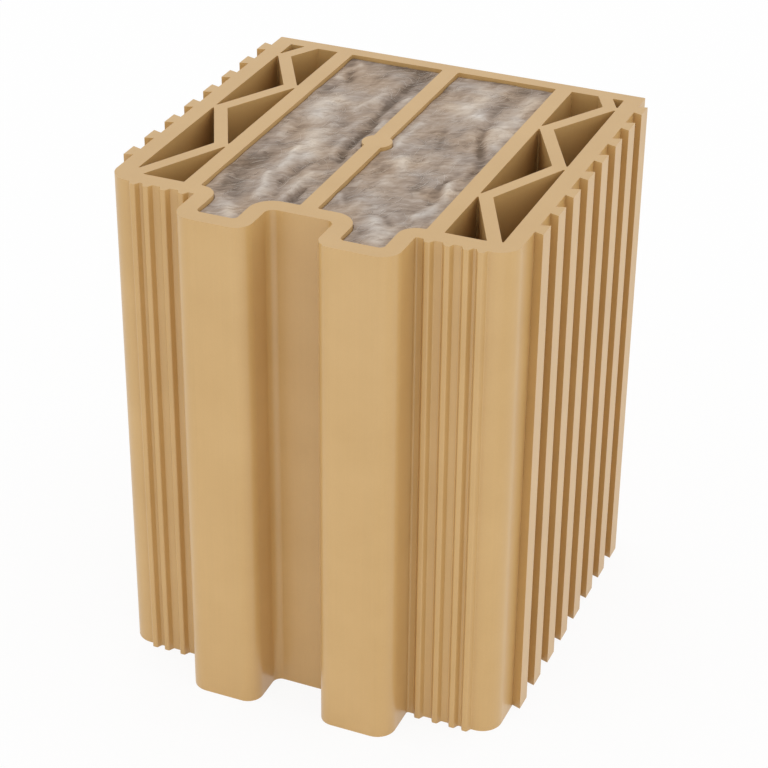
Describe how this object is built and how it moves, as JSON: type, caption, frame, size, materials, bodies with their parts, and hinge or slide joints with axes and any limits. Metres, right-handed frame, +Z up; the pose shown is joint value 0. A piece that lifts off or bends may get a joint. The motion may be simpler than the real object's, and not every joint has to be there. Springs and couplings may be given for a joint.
{
  "type": "hollow clay block",
  "caption": "Fired clay wall block with zigzag cells at both sides, wool-filled middle chambers, hollow tongues on one end and dovetail plaster ribs.",
  "frame": {"origin": "centre of the overall box on the bottom bed face", "axes": "+Z up through the open cells; +X across the wall to the right plaster face; +Y towards the flat back face, so the tongues point to -Y"},
  "size_m": [0.198, 0.2032, 0.249],
  "materials": {
    "fired_clay": "smooth matt fired clay",
    "mineral_wool": "loose felted fibres"
  },
  "bodies": {
    "root": {"clay_block": "fired_clay", "wool_fill_left": "mineral_wool", "wool_fill_right": "mineral_wool"}
  },
  "joints": []
}
